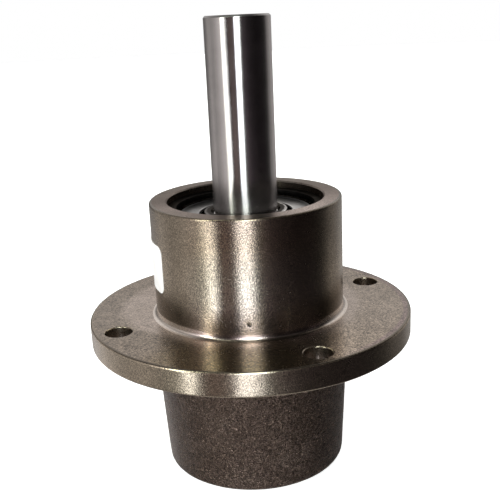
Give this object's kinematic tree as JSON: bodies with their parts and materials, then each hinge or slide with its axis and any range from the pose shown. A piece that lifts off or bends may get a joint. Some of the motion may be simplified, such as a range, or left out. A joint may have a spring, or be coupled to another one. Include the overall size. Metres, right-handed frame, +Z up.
{
  "type": "mower deck spindle",
  "caption": "Cast spindle housing with a round bolting flange, carrying a plain hollow steel shaft in two shielded ball bearings; holds a mower's blade and its drive pulley.",
  "frame": {"origin": "on the shaft's axis, in the flange's upper machined face, which is the centre of the bolt circle", "axes": "+Z up the shaft, away from the blade end; +X through a bolt hole"},
  "size_m": [0.13, 0.13, 0.179],
  "materials": {
    "housing_iron": "turned boss and flange, cast hub, oiled",
    "shaft_steel": "ground and polished",
    "spacer_steel": "turned tube",
    "circlip_steel": "black phosphated spring steel",
    "label_paper": "white paper, blank",
    "bearing_steel": "ground ring",
    "ball_steel": "polished ball",
    "cage_steel": "pressed sheet",
    "shield_steel": "pressed sheet, satin"
  },
  "bodies": {
    "housing": {"spindle_housing": "housing_iron", "upper_circlip": "circlip_steel", "lower_circlip": "circlip_steel", "blank_label": "label_paper", "upper_bearing_outer_ring": "bearing_steel", "upper_bearing_shield_top": "shield_steel", "upper_bearing_shield_bottom": "shield_steel", "lower_bearing_outer_ring": "bearing_steel", "lower_bearing_shield_top": "shield_steel", "lower_bearing_shield_bottom": "shield_steel"},
    "shaft": {"spindle_shaft": "shaft_steel", "thrust_ring": "spacer_steel", "bearing_spacer": "spacer_steel", "upper_bearing_inner_ring": "bearing_steel", "lower_bearing_inner_ring": "bearing_steel"},
    "upper_cage": {"upper_bearing_balls": "ball_steel", "upper_bearing_cage_top": "cage_steel", "upper_bearing_cage_bottom": "cage_steel", "upper_bearing_cage_rivets": "cage_steel"},
    "lower_cage": {"lower_bearing_balls": "ball_steel", "lower_bearing_cage_top": "cage_steel", "lower_bearing_cage_bottom": "cage_steel", "lower_bearing_cage_rivets": "cage_steel"}
  },
  "joints": [
    {"name": "shaft_spin", "type": "hinge", "parent": "housing", "child": "shaft", "pos_m": [0, 0, 0], "axis": [0, 0, 1], "continuous": true},
    {"name": "upper_cage_spin", "type": "hinge", "parent": "housing", "child": "upper_cage", "pos_m": [0, 0, 0.03235], "axis": [0, 0, 1], "continuous": true},
    {"name": "lower_cage_spin", "type": "hinge", "parent": "housing", "child": "lower_cage", "pos_m": [0, 0, -0.05035], "axis": [0, 0, 1], "continuous": true}
  ],
  "couplings": [
    {"joint": "upper_cage_spin", "follows": "shaft_spin", "ratio": 0.3684},
    {"joint": "lower_cage_spin", "follows": "shaft_spin", "ratio": 0.3684}
  ]
}
